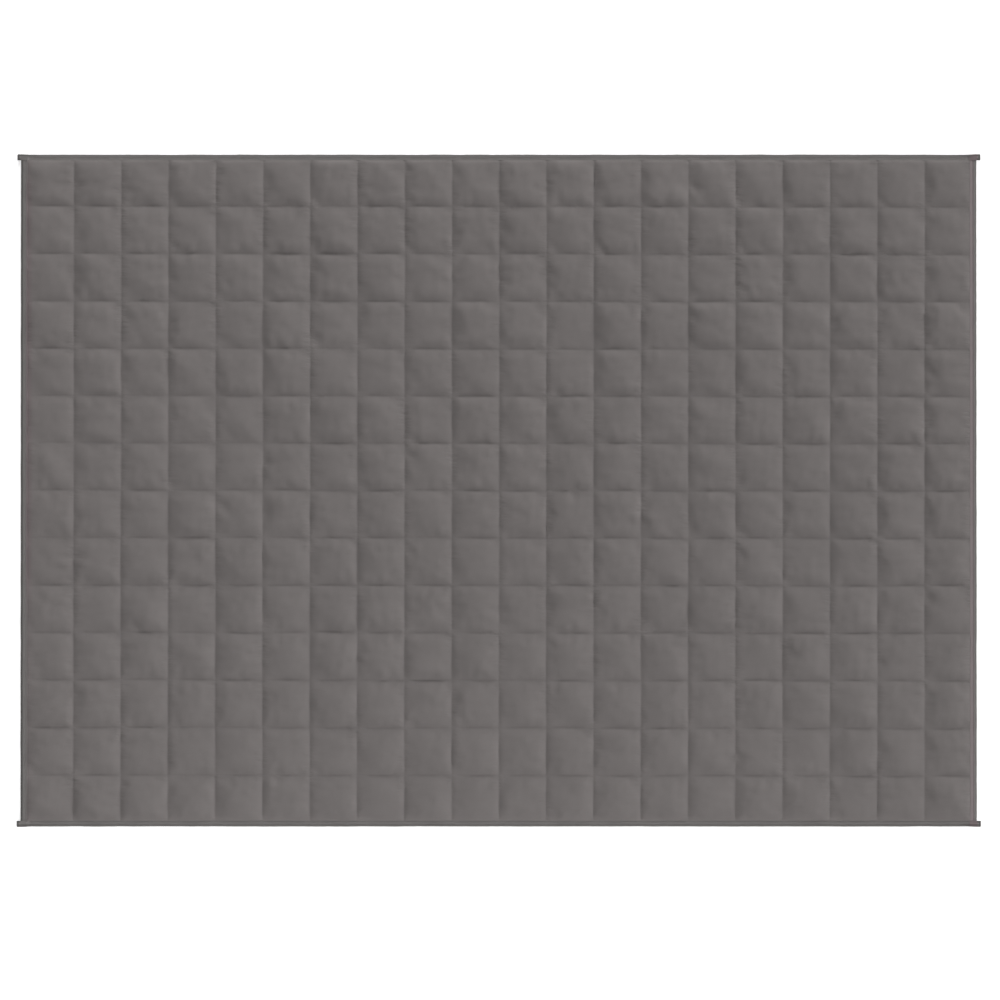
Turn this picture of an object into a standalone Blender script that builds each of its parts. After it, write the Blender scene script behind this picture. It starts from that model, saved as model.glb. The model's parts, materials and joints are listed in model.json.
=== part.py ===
"""A weighted blanket, laid out flat: one filled body quilted in squares, and a folded tape on each edge.

Metres, +Z up. X runs along the long edges, +Y to the top edge, and the origin is on the floor
under the middle of the blanket.
"""

import math
import random
from dataclasses import dataclass

import bmesh
import bpy
from mathutils import Vector

# Outline over the tapes, without the overrunning tape ends
LENGTH = 2.000
WIDTH = 1.406
FLARE = 0.0011  # the short edges stand this much further out at the bottom than at the top

# Quilting
COLUMNS = 20
ROWS = 14
PITCH_X = 0.09897
PITCH_Y = 0.09924
FIRST_SEAM_X = -0.8895
FIRST_SEAM_Y = -0.5983
SEAM_WANDER = 0.0006  # how far a crossing strays from the square grid

# Heights above the floor
CROWN_Z = 0.0112
CROWN_SPREAD = 0.0010  # the slackest pocket is this much lower
SEAM_TOP_Z = 0.0044
SEAM_BOTTOM_Z = 0.0022
EDGE_TOP_Z = 0.0029  # the flattened edge inside the tapes
EDGE_BOTTOM_Z = 0.0013

# Rings of a pocket: how far each lies inside the one before, and its share of the crown's rise
SHOULDER_INSET = 0.015
SHOULDER_SHARE = 0.62
UPPER_RING_INSET = 0.015
UPPER_RING_SHARE = 0.90
GROOVE_INSET = 0.011  # on the underside, from a seam to the flat pad
CROWN_SHIFT = 0.008  # how far the fullest point strays from a pocket's middle

# Tapes
GAP = 0.0003
TAPE_CLOTH = 0.0010
TAPE_TOP_Z = EDGE_TOP_Z + GAP + TAPE_CLOTH
LONG_TAPE_WIDTH = 0.0115
SHORT_TAPE_WIDTH = 0.0140
FOLD_WALL = 0.0014  # from the blanket's own edge to the outside of the fold
FOLD_SOFTNESS = 0.0012
SWELL_LENGTH = 0.022  # the long tapes swell over this length at their ends
SWELL_RISE = 0.0008
SWELL_STEPS = 4

COVER_COLOR = (0.152, 0.140, 0.137, 1.0)
TAPE_COLOR = (0.140, 0.136, 0.132, 1.0)
CLOTH_ROUGHNESS = 0.9


@dataclass
class Tape:
    name: str
    out: tuple  # unit vector out of the blanket
    width: float
    low_overrun: float  # past the neighbouring edge at the -X or -Y end, or short of it if negative
    high_overrun: float
    swell: float  # outwards, at the ends


BETWEEN_LONG_TAPES = -LONG_TAPE_WIDTH - GAP
TAPES = (
    Tape("tape_top", (0, 1), LONG_TAPE_WIDTH, 0.0073, 0.0083, 0.0018),
    Tape("tape_bottom", (0, -1), LONG_TAPE_WIDTH, 0.0080, 0.0083, 0.0012),
    Tape("tape_left", (-1, 0), SHORT_TAPE_WIDTH, BETWEEN_LONG_TAPES, BETWEEN_LONG_TAPES, 0.0),
    Tape("tape_right", (1, 0), SHORT_TAPE_WIDTH, BETWEEN_LONG_TAPES, BETWEEN_LONG_TAPES, 0.0),
)

# Where the pockets end, beside the tapes' inner edges
PANEL_HALF_X = LENGTH / 2 - SHORT_TAPE_WIDTH - GAP
PANEL_HALF_Y = WIDTH / 2 - LONG_TAPE_WIDTH - GAP


def clear_scene():
    for obj in list(bpy.data.objects):
        bpy.data.objects.remove(obj)


def cloth_material(name, color):
    material = bpy.data.materials.new(name)
    material.use_nodes = True
    shader = material.node_tree.nodes["Principled BSDF"]
    shader.inputs["Base Color"].default_value = color
    shader.inputs["Roughness"].default_value = CLOTH_ROUGHNESS
    shader.inputs["Metallic"].default_value = 0.0
    return material


def add_object(name, bm, material=None):
    bmesh.ops.recalc_face_normals(bm, faces=bm.faces)
    mesh = bpy.data.meshes.new(name)
    bm.to_mesh(mesh)
    bm.free()
    if material:
        mesh.materials.append(material)
    obj = bpy.data.objects.new(name, mesh)
    bpy.context.scene.collection.objects.link(obj)
    return obj


def half_length(y):
    """Half the blanket's length at that y: the short edges flare a little towards the bottom."""
    return LENGTH / 2 - FLARE * y / WIDTH


# ---------------------------------------------------------------- quilted body


def seam_lines(first, pitch, count, half_panel):
    """Where the seams of one direction lie, with the ends of the outermost pockets."""
    return [-half_panel] + [first + pitch * i for i in range(count - 1)] + [half_panel]


def crossings():
    """The corners of the pockets, {(column, row): (x, y)}, the inner ones a little off the grid."""
    wander = random.Random(7)
    points = {}
    for row, y in enumerate(seam_lines(FIRST_SEAM_Y, PITCH_Y, ROWS, PANEL_HALF_Y)):
        for column, x in enumerate(seam_lines(FIRST_SEAM_X, PITCH_X, COLUMNS, PANEL_HALF_X)):
            if 0 < column < COLUMNS and 0 < row < ROWS:
                x += wander.uniform(-SEAM_WANDER, SEAM_WANDER)
                y += wander.uniform(-SEAM_WANDER, SEAM_WANDER)
            points[column, row] = (x * half_length(y) / (LENGTH / 2), y)
    return points


def row_and_column(face):
    middle = face.calc_center_median()
    row = math.floor((middle.y - FIRST_SEAM_Y) / PITCH_Y)
    column = math.floor((middle.x - FIRST_SEAM_X) / PITCH_X)
    return row, column


def pocket_grid(bm, points, seam_z, edge_z):
    """One face for each pocket, row by row. Its corners lie on the seams, or on the flattened edge."""
    made = bmesh.ops.create_grid(bm, x_segments=COLUMNS, y_segments=ROWS, size=1.0)
    for vert in made["verts"]:
        column = round((vert.co.x + 1) / 2 * COLUMNS)
        row = round((vert.co.y + 1) / 2 * ROWS)
        vert.co = Vector((*points[column, row], edge_z if vert.is_boundary else seam_z))
    pockets = {face for vert in made["verts"] for face in vert.link_faces}
    return sorted(pockets, key=row_and_column)


def add_margin(bm, pockets):
    """The flattened margin that runs into the tapes. Returns its outer edges."""
    rim = [edge for face in pockets for edge in face.edges if edge.is_boundary]
    grown = bmesh.ops.extrude_edge_only(bm, edges=rim)["geom"]
    for vert in (item for item in grown if isinstance(item, bmesh.types.BMVert)):
        if abs(abs(vert.co.x) - PANEL_HALF_X) < PITCH_X / 4:
            vert.co.x += math.copysign(SHORT_TAPE_WIDTH - FOLD_WALL, vert.co.x)
        if abs(abs(vert.co.y) - PANEL_HALF_Y) < PITCH_Y / 4:
            vert.co.y += math.copysign(LONG_TAPE_WIDTH - FOLD_WALL, vert.co.y)
    return [item for item in grown if isinstance(item, bmesh.types.BMEdge) and item.is_boundary]


def inset_each(bm, pockets, inset, heights):
    """Insets every pocket by itself and sets the height of its inner part, which keeps its face."""
    bmesh.ops.inset_individual(bm, faces=pockets, thickness=inset, use_even_offset=True)
    for face, z in zip(pockets, heights):
        for vert in face.verts:
            vert.co.z = z


def raise_crowns(bm, pockets):
    """The top of every pocket: a shoulder, an upper ring and a crown that is fuller on one side."""
    fullness = random.Random(11)
    crowns = [CROWN_Z - fullness.uniform(0, CROWN_SPREAD) for _ in pockets]
    for inset, share in ((SHOULDER_INSET, SHOULDER_SHARE), (UPPER_RING_INSET, UPPER_RING_SHARE)):
        ring = [SEAM_TOP_Z + share * (crown - SEAM_TOP_Z) for crown in crowns]
        inset_each(bm, pockets, inset, ring)
    for face, crown in zip(pockets, crowns):
        middle = bmesh.ops.poke(bm, faces=[face])["verts"][0]
        middle.co.x += fullness.uniform(-CROWN_SHIFT, CROWN_SHIFT)
        middle.co.y += fullness.uniform(-CROWN_SHIFT, CROWN_SHIFT)
        middle.co.z = crown


def sink_pads(bm, pockets):
    """The underside of every pocket lies flat on the floor, with a groove along each seam."""
    inset_each(bm, pockets, GROOVE_INSET, [0.0] * len(pockets))


def quilted_body():
    bm = bmesh.new()
    points = crossings()
    margins = []
    for seam_z, edge_z, shape in (
        (SEAM_TOP_Z, EDGE_TOP_Z, raise_crowns),
        (SEAM_BOTTOM_Z, EDGE_BOTTOM_Z, sink_pads),
    ):
        pockets = pocket_grid(bm, points, seam_z, edge_z)
        margins += add_margin(bm, pockets)
        shape(bm, pockets)
    bmesh.ops.bridge_loops(bm, edges=margins)
    return add_object("quilted_body", bm, cloth_material("quilted_cloth", COVER_COLOR))


# ---------------------------------------------------------------- tapes


def folded_outline(width, top):
    """A folded tape's outside, as (out, z) from its inner edge, with the fold rounded."""
    soft = FOLD_SOFTNESS
    bend = soft * (1 - math.sqrt(0.5))  # the middle of a quarter circle
    return [
        (0.0, 0.0),
        (width - soft, 0.0),
        (width - bend, bend),
        (width, soft),
        (width, top - soft),
        (width - bend, top - bend),
        (width - soft, top),
        (0.0, top),
    ]


def slot_outline(width):
    """The room between the tape's two leaves, open towards the blanket."""
    depth = width - FOLD_WALL + GAP
    top = TAPE_TOP_Z - TAPE_CLOTH
    return [(-width, TAPE_CLOTH), (depth, TAPE_CLOTH), (depth, top), (-width, top)]


def place(tape, along, out, z):
    """A point of a tape: along its edge, then out from the tape's inner edge."""
    if tape.out[1]:
        return Vector((along, tape.out[1] * (WIDTH / 2 - tape.width + out), z))
    return Vector((tape.out[0] * (half_length(along) - tape.width + out), along, z))


def run(name, tape, stations, material=None):
    """A closed solid along a tape. Each station is (place along the edge, outline)."""
    bm = bmesh.new()
    loops = []
    for along, outline in stations:
        loops.append([bm.verts.new(place(tape, along, out, z)) for out, z in outline])
    for loop, following in zip(loops, loops[1:]):
        for i in range(len(loop)):
            bm.faces.new((loop[i - 1], loop[i], following[i], following[i - 1]))
    bm.faces.new(loops[0])
    bm.faces.new(reversed(loops[-1]))
    return add_object(name, bm, material)


def tape_stations(tape, low, high):
    """The outlines from a tape's one end to its other. The ends swell, and their last rim is rounded."""
    if not tape.swell:
        return [(along, folded_outline(tape.width, TAPE_TOP_Z)) for along in (low, high)]
    end = [(0.0, folded_outline(tape.width + tape.swell - FOLD_SOFTNESS, TAPE_TOP_Z - FOLD_SOFTNESS / 2))]
    for step in range(SWELL_STEPS + 1):
        left = 1 - step / SWELL_STEPS
        swell = tape.swell * left**2
        outline = folded_outline(tape.width + swell, TAPE_TOP_Z + SWELL_RISE * left**2)
        end.append((FOLD_SOFTNESS + (1 - left) * SWELL_LENGTH, outline))
    other_end = [(high - along, outline) for along, outline in reversed(end)]
    return [(low + along, outline) for along, outline in end] + other_end


def folded_tape(tape, material):
    """A strip folded over the blanket's edge. Past the corners its leaves are closed on each other."""
    corner = half_length(tape.out[1] * WIDTH / 2) if tape.out[1] else WIDTH / 2
    low = -corner - tape.low_overrun
    high = corner + tape.high_overrun
    body = run(tape.name, tape, tape_stations(tape, low, high), material)
    slot_half = corner - FOLD_WALL + GAP if tape.swell else corner
    slot_ends = [(along, slot_outline(tape.width)) for along in (-slot_half, slot_half)]
    slot = run(tape.name + "_slot", tape, slot_ends)
    slot.hide_render = True
    slot.display_type = "WIRE"
    cut = body.modifiers.new("slot", "BOOLEAN")
    cut.operation = "DIFFERENCE"
    cut.object = slot


def build():
    clear_scene()
    quilted_body()
    material = cloth_material("tape_cloth", TAPE_COLOR)
    for tape in TAPES:
        folded_tape(tape, material)


build()
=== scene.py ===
"""The looks of a flat weighted blanket, seen from above: quilted cloth, stitches and folded edge tapes."""

import json
import math
from dataclasses import dataclass

import bmesh
import bpy
import numpy as np
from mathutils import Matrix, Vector

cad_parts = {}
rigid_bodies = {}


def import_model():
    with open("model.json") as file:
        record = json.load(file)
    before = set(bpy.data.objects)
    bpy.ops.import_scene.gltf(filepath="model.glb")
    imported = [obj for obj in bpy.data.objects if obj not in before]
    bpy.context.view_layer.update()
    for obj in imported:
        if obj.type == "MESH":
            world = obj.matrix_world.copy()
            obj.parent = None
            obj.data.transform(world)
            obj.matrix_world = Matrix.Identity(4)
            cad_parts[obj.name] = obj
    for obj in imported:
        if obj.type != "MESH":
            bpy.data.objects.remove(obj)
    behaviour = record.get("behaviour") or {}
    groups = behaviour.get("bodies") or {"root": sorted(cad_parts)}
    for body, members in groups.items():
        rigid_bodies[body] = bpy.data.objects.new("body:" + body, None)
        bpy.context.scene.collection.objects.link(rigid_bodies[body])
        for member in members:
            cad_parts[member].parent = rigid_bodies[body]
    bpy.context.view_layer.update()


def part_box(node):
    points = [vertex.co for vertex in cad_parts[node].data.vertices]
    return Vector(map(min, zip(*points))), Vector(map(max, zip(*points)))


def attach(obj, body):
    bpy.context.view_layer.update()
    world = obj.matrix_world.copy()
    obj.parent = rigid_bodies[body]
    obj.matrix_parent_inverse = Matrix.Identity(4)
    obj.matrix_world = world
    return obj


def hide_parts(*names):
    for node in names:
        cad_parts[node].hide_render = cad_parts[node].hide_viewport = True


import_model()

# ---------------------------------------- sizes

MM = 0.001

# As in the solids
LENGTH = 2.000
WIDTH = 1.406
FLARE = 0.0011  # the short edges stand this much further out at the bottom than at the top
COLUMNS = 20
ROWS = 14
PITCH_X = 0.09897
PITCH_Y = 0.09924
FIRST_SEAM_X = -0.8895
FIRST_SEAM_Y = -0.5983
LONG_TAPE_WIDTH = 0.0115
SHORT_TAPE_WIDTH = 0.0140
GAP = 0.3 * MM
FOLD_WALL = 1.4 * MM  # from a tape's outer edge to the cover's own edge inside it
PANEL_HALF_X = LENGTH / 2 - SHORT_TAPE_WIDTH - GAP
PANEL_HALF_Y = WIDTH / 2 - LONG_TAPE_WIDTH - GAP

# The cover's heights above the floor
SEAM_TOP_Z = 4.9 * MM
SEAM_BACK_Z, LOWEST_SEAM_BACK_Z = 1.1 * MM, 0.35 * MM
TOP_FOOT_Z, BOTTOM_FOOT_Z, SHORT_FOOT_Z = 4.2 * MM, 5.2 * MM, 4.9 * MM  # right beside the tapes
FOOT_REACH = 5 * MM  # from the tapes to where the cover has the level of its seams
# Rings around the panel, as (out, height). None keeps the panel's height, or reaches out into the fold.
TOP_MARGIN = ((0.03 * MM, None), (0.09 * MM, 3.0 * MM), (None, 2.6 * MM))
BACK_MARGIN = ((None, 1.3 * MM),)
CROWN_RISE = 5.35 * MM  # of a usual pocket over its seams
GROOVE_REACH = 0.011  # on the underside, from a seam to the flat pad

# The form of a pocket, as the exponents of its arches. The upright seams were sewn first, as channels. They
# lie deeper and sharper than the level ones, which cross the filled channels.
ROUNDNESS_X, ROUNDNESS_Y = 2.4, 3.7
CHANNEL_DIP, CHANNEL_REACH = 0.9 * MM, 7 * MM
LEVEL_DIP, LEVEL_REACH = 0.30 * MM, 6 * MM
LEVEL_SOFTNESS = 0.12  # rounds the arch off at the level seams

# The cover's own lines in a pocket, as shares of it: close at the seams, even in the middle
NEAR_SEAM = (0.020, 0.045, 0.060)
MIDDLE_CELLS = 11
BACK_LINES = (0.0, 0.05, 0.12, 0.30, 0.70, 0.88, 0.95, 1.0)

# How the quilting was sewn: lean of the seams from one side of the blanket to the other
LEAN_TOP, LEAN_BOTTOM = 0.7 * MM, -0.7 * MM  # of the upright seams, in x
LEAN_LEFT, LEAN_RIGHT = 2.1 * MM, -0.3 * MM  # of the level seams, in y
BOW = 1.3 * MM  # of the level seams half way up, in y
BOW_SKEW = 0.75 * MM  # more of it in the lower half, less in the upper one
DRAWN_IN = 0.0008  # share by which the upright seams lie closer together
WAVER_SIZE, WAVER_X, WAVER_Y = 0.35, 0.15 * MM, 0.35 * MM
FINE_WAVER_SIZE, FINE_WAVER = 0.035, 0.15 * MM
WAVER_WAVES, FINE_WAVER_WAVES = 24, 32

# The simulated patch, from which every pocket takes the puckers of one pillow
PATCH_COLUMNS = 10
PATCH_ROWS = 6
PILLOW_FRAMES = 22
PILLOW_CLOTH = {
    "quality": 5,
    "mass": 0.3,
    "tension_stiffness": 15,
    "compression_stiffness": 15,
    "shear_stiffness": 5,
    "bending_stiffness": 30.0,
    "air_damping": 1.0,
    "pin_stiffness": 1.0,
    "use_pressure": True,
    "uniform_pressure_force": 4.0,
    "shrink_min": -0.015,  # the cover is cut this much larger than the seams hold it
}
START_SHARE = 0.75  # of the usual form, before the filling swells it
START_UNEVENNESS, START_SIZE, START_GRAIN = 0.6 * MM, 0.022, 0.4
PUCKERS = 0.4  # share of their simulated height
SIDEWAYS = 0.5  # share of their simulated shift within the cover
LOOSE_FROM = 0.10  # share of a pocket from its seams, within which the stitches hold the puckers down
WAYS_TO_LIE = 8  # of a square pillow

# Unevenness over the whole cover
FULLNESS = (0.81, 1.19)  # of the pockets, from the flattest to the fullest
TILT = 0.30  # how much fuller a pocket may be on one side
UNDULATION_SIZE, UNDULATION = 0.24, 0.95 * MM
LUMP_SIZE, LUMP_HEIGHT = 0.060, 0.43 * MM
LUMP_STRETCH = 1.2  # lumps are longer in x
FINE_LUMP_SIZE, FINE_LUMP_HEIGHT = 0.014, 0.03 * MM
FREE_RATE = 6  # gathers fade within a sixth of a pocket from the seams that they run along
CREASE_START = 8 * MM  # the main creases begin over this distance from the tapes

# Tapes
LEAF = 0.9 * MM  # thickness of the tape
TAPE_TOP_Z = 4.2 * MM
STATION_STEP = 4 * MM
FINE_STEP, FINE_REACH = 1.2 * MM, 30 * MM  # of the stations near the ends
LIP_REACH = 0.15 * MM  # the tapes' inner edges reach this far over the gap to the panel
LAP, LAP_RISE = 0.9 * MM, 0.9 * MM  # the long tapes reach this far over the ends of the short ones, and rise
LAP_START = 6 * MM
END_ROUNDING, END_STEPS = 1.5 * MM, 4
SWELL_REACH = 22 * MM
CLOSED_FROM, CLOSED_TO = -0.8 * MM, 3 * MM  # past the corner, where the slot of a tab closes
TAPE_WAVER_SIZE, TAPE_WAVER = 0.09, 0.12 * MM
TAPE_FINE_SIZE, TAPE_FINE_WAVER, TAPE_FINE_RISE = 0.02, 0.05 * MM, 0.10 * MM

SEED = 20


@dataclass
class Gathers:
    spacing: float
    depth: float
    reach: float
    softness: int  # 1 starts steeply at the seam, 2 softly
    seed: int


BESIDE_UPRIGHT_SEAMS = Gathers(spacing=0.024, depth=0.44 * MM, reach=13 * MM, softness=1, seed=SEED + 8)
BESIDE_LEVEL_SEAMS = Gathers(spacing=0.026, depth=0.32 * MM, reach=12 * MM, softness=2, seed=SEED + 9)
GATHERS_END = (0.2 * PITCH_X, 0.48 * PITCH_X)  # they die away between these distances from the seam
# Along a seam, their strength and their reach change over these lengths, by this much, within these limits
STRENGTH_SIZE, STRENGTH_MEAN, STRENGTH_SPREAD, STRENGTH_LIMITS = 0.09, 0.55, 0.5, (0.05, 1.8)
REACH_SIZE, REACH_SPREAD, REACH_LIMITS = 0.05, 0.45, (-1, 1.6)
SEAM_STRIDE, SIDE_STRIDE = 3.7, 10  # through the noise, so that every seam and each of its sides has its own


@dataclass
class Tape:
    name: str
    out: tuple  # unit vector out of the blanket
    width: float
    stitched_at: float  # from its inner edge
    groove: float  # how deep the stitching lies
    lip_rise: float  # of its inner edge
    fold_shade_tone: float  # of the painted shade along the fold, where it turns away from the light
    body_tone: float
    inner_highlight_tone: float  # painted highlight inside the stitching, where its inner edge catches the light
    swell: float = 0.0  # outwards, at the ends
    mauve_to: float = 0.0  # a short tape is a little mauve from its inner edge as far as this
    border_in: float = 0.0  # how much further in the line of painted shade lies

    @property
    def long(self):
        """Whether it runs along a long edge."""
        return self.out[1] != 0

    @property
    def axis(self):
        """Index of the axis that it runs along."""
        return 0 if self.long else 1

    @property
    def node(self):
        return "tape_" + self.name


TAPES = (
    Tape(
        "top", (0, 1), LONG_TAPE_WIDTH, stitched_at=3.6 * MM, groove=0.20 * MM, lip_rise=0.0,
        fold_shade_tone=0.80, body_tone=1.11, inner_highlight_tone=1.24, swell=0.8 * MM,
    ),
    Tape(
        "bottom", (0, -1), LONG_TAPE_WIDTH, stitched_at=1.6 * MM, groove=0.25 * MM, lip_rise=0.3 * MM,
        fold_shade_tone=0.70, body_tone=1.10, inner_highlight_tone=1.12, swell=0.8 * MM, border_in=1.2 * MM,
    ),
    Tape(
        "left", (-1, 0), SHORT_TAPE_WIDTH, stitched_at=4.0 * MM, groove=0.05 * MM, lip_rise=0.5 * MM,
        fold_shade_tone=0.50, body_tone=1.01, inner_highlight_tone=1.14, mauve_to=3.0 * MM,
    ),
    Tape(
        "right", (1, 0), SHORT_TAPE_WIDTH, stitched_at=5.9 * MM, groove=0.28 * MM, lip_rise=0.7 * MM,
        fold_shade_tone=0.74, body_tone=1.14, inner_highlight_tone=1.24, mauve_to=8.6 * MM, border_in=-0.9 * MM,
    ),
)


# ---------------------------------------- helpers


def half_length(y):
    """Half the blanket's length at that y."""
    return LENGTH / 2 - FLARE * y / WIDTH


def soft_step(value, low, high):
    """From 0 at low to 1 at high, without corners."""
    t = np.clip((value - low) / (high - low), 0, 1)
    return t * t * (3 - 2 * t)


WAVE_RATES = (0.55, 1.3)  # of the waves that make up a noise, over the rate of its size


def unevenness(seed, size, waves=48):
    """Smooth noise with features of about that size and standard deviation 1, as a function of x and y."""
    rng = np.random.default_rng(seed)
    turn = rng.uniform(0, 2 * np.pi, waves)
    rate = 2 * np.pi / size * rng.uniform(*WAVE_RATES, waves)
    phase = rng.uniform(0, 2 * np.pi, waves)

    def at(x, y):
        total = np.zeros(np.broadcast(x, y).shape)
        for t, k, p in zip(turn, rate, phase):
            total += np.cos(k * (x * math.cos(t) + y * math.sin(t)) + p)
        return total * math.sqrt(2 / waves)

    return at


def add_mesh(name, vertices, faces, material):
    """A smooth mesh from an array of points and a list or array of faces."""
    mesh = bpy.data.meshes.new(name)
    mesh.from_pydata(vertices.tolist(), [], faces if isinstance(faces, list) else faces.tolist())
    mesh.materials.append(material)
    mesh.polygons.foreach_set("use_smooth", [True] * len(mesh.polygons))
    obj = bpy.data.objects.new(name, mesh)
    bpy.context.scene.collection.objects.link(obj)
    return obj


def grid_faces(rows, columns, first=0, flip=False):
    """The quads of a grid of points that is stored row by row."""
    index = first + np.arange(rows * columns).reshape(rows, columns)
    corners = [index[:-1, :-1], index[:-1, 1:], index[1:, 1:], index[1:, :-1]]
    if flip:
        corners.reverse()
    return np.stack(corners, -1).reshape(-1, 4)


# ---------------------------------------- main creases, as the photo shows them

# Columns count from the left and rows from the bottom. Half lengths and half widths are in millimetres, and
# places in a pocket are shares of it.
# Hollows beside an upright seam, on its right: (column, row, place up, half length, strength)
CREASE_DEPTH = 1.8 * MM  # at strength 1
DENT_ACROSS, DENT_HALF_WIDTH = 0.08, 9.0
DENTS = (
    (2, 14, 0.42, 10, 1.0), (4, 14, 0.75, 8, 1.2), (5, 14, 0.72, 8, 1.3), (6, 14, 0.58, 16, 1.5),
    (9, 14, 0.70, 14, 1.1), (10, 14, 0.72, 18, 1.2), (13, 14, 0.72, 16, 1.2), (14, 14, 0.60, 20, 1.4),
    (16, 14, 0.12, 14, 1.6), (20, 14, 0.50, 20, 1.5),
    (2, 13, 0.28, 12, 1.1), (10, 13, 0.45, 14, 1.3), (11, 13, 0.58, 20, 1.2), (17, 13, 0.55, 20, 1.4),
    (20, 13, 0.60, 16, 1.2),
    (2, 12, 0.50, 20, 1.0), (4, 12, 0.50, 10, 1.2), (6, 12, 0.75, 14, 1.1), (7, 12, 0.80, 14, 1.3),
    (10, 12, 0.70, 14, 1.0), (17, 12, 0.60, 20, 1.5), (20, 12, 0.55, 16, 1.1),
    (3, 11, 0.75, 12, 1.1), (4, 11, 0.60, 18, 1.2), (7, 11, 0.22, 10, 1.2), (8, 11, 0.78, 14, 1.3),
    (12, 11, 0.60, 20, 1.3), (14, 11, 0.80, 10, 1.2), (18, 11, 0.58, 14, 1.5), (19, 11, 0.72, 12, 1.2),
    (3, 10, 0.62, 18, 1.4), (6, 10, 0.60, 14, 1.1), (11, 10, 0.55, 18, 1.2), (13, 10, 0.60, 18, 1.1),
    (4, 9, 0.65, 16, 1.5), (7, 9, 0.60, 22, 1.0), (12, 9, 0.70, 16, 1.7), (16, 9, 0.75, 14, 1.3),
    (18, 9, 0.60, 18, 1.0), (20, 9, 0.50, 16, 1.1),
    (3, 8, 0.80, 12, 1.2), (4, 8, 0.10, 12, 1.2), (6, 8, 0.60, 12, 1.4), (10, 8, 0.70, 16, 1.0),
    (16, 8, 0.25, 14, 1.5), (19, 8, 0.15, 14, 1.4),
    (2, 7, 0.42, 10, 1.3), (6, 7, 0.55, 20, 1.5), (12, 7, 0.55, 20, 1.4), (14, 7, 0.70, 16, 1.4),
    (15, 7, 0.20, 16, 1.4), (16, 7, 0.20, 16, 1.4), (17, 7, 0.62, 16, 1.5), (19, 7, 0.50, 20, 1.4),
    (20, 7, 0.60, 18, 1.4),
    (7, 6, 0.60, 14, 1.1), (10, 6, 0.25, 14, 1.1), (19, 6, 0.45, 18, 1.3),
    (12, 5, 0.60, 20, 1.5), (17, 5, 0.50, 14, 1.3), (19, 5, 0.75, 12, 1.0), (20, 5, 0.75, 12, 1.5),
    (3, 4, 0.65, 12, 1.3), (8, 4, 0.68, 12, 1.0), (19, 4, 0.40, 16, 1.2),
    (2, 3, 0.60, 18, 1.1), (5, 3, 0.30, 8, 1.3), (10, 3, 0.60, 16, 1.2), (20, 3, 0.60, 18, 1.2),
    (13, 2, 0.68, 14, 1.3), (19, 2, 0.50, 18, 1.1), (20, 2, 0.55, 16, 1.1),
    (3, 1, 0.75, 12, 1.2), (4, 1, 0.62, 14, 1.3), (18, 1, 0.50, 14, 1.0), (20, 1, 0.50, 14, 1.1),
)

# Hollows along a level seam, on the pocket above it: (column, row, place across, half length, strength)
SAG_UP, SAG_HALF_WIDTH = 0.05, 9.5
SAG_SHARE = 0.5  # of the depth of the other creases
SAGS = (
    (1, 14, 0.40, 30, 1.2), (3, 14, 0.50, 20, 1.2), (6, 14, 0.50, 18, 1.5), (12, 14, 0.30, 18, 1.4),
    (16, 14, 0.45, 25, 1.6), (5, 13, 0.60, 20, 1.1), (7, 13, 0.30, 22, 1.6), (18, 13, 0.50, 10, 1.3),
    (4, 10, 0.55, 18, 1.4), (6, 7, 0.62, 16, 1.3), (11, 7, 0.50, 20, 1.1), (15, 7, 0.50, 20, 1.2),
    (6, 6, 0.68, 14, 1.4), (19, 6, 0.60, 16, 1.3), (20, 6, 0.55, 20, 1.1), (12, 3, 0.50, 18, 1.2),
    (1, 2, 0.70, 12, 1.2),
)

# Slanted folds: (column, row, place across, place up, turn in degrees, half length, half width, strength)
FOLDS = (
    (4, 14, 0.25, 0.78, 0, 14, 6.0, 0.8), (7, 14, 0.12, 0.10, -50, 12, 5.0, 1.2),
    (11, 14, 0.15, 0.24, -15, 14, 5.0, 1.0), (15, 14, 0.12, 0.42, -30, 10, 6.0, 1.5),
    (19, 14, 0.14, 0.10, -40, 14, 5.0, 1.0), (4, 13, 0.14, 0.16, -48, 14, 4.5, 1.2),
    (9, 13, 0.12, 0.12, -40, 14, 6.0, 1.3), (12, 13, 0.14, 0.16, -45, 14, 5.0, 0.9),
    (13, 13, 0.14, 0.14, -50, 16, 4.5, 1.4), (16, 13, 0.16, 0.12, -50, 14, 4.5, 1.1),
    (5, 12, 0.22, 0.40, -60, 20, 7.0, 0.9), (12, 12, 0.16, 0.22, -40, 16, 5.0, 1.0),
    (16, 12, 0.12, 0.30, -20, 12, 5.0, 1.5), (19, 12, 0.16, 0.60, -60, 16, 6.0, 1.0),
    (15, 11, 0.12, 0.66, -50, 14, 7.0, 1.5), (17, 10, 0.08, 0.70, -60, 18, 6.0, 1.2),
    (20, 10, 0.14, 0.50, -50, 18, 8.0, 1.5), (9, 8, 0.14, 0.74, -50, 18, 8.0, 1.6),
    (5, 7, 0.13, 0.68, -50, 18, 9.0, 1.5), (9, 6, 0.10, 0.75, -50, 14, 8.0, 1.3),
    (16, 6, 0.12, 0.62, -60, 20, 8.0, 1.6), (3, 5, 0.35, 0.10, -30, 22, 8.0, 1.3),
    (12, 4, 0.14, 0.72, -40, 16, 7.0, 1.3), (17, 4, 0.14, 0.62, -35, 18, 7.0, 1.5),
)


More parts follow.
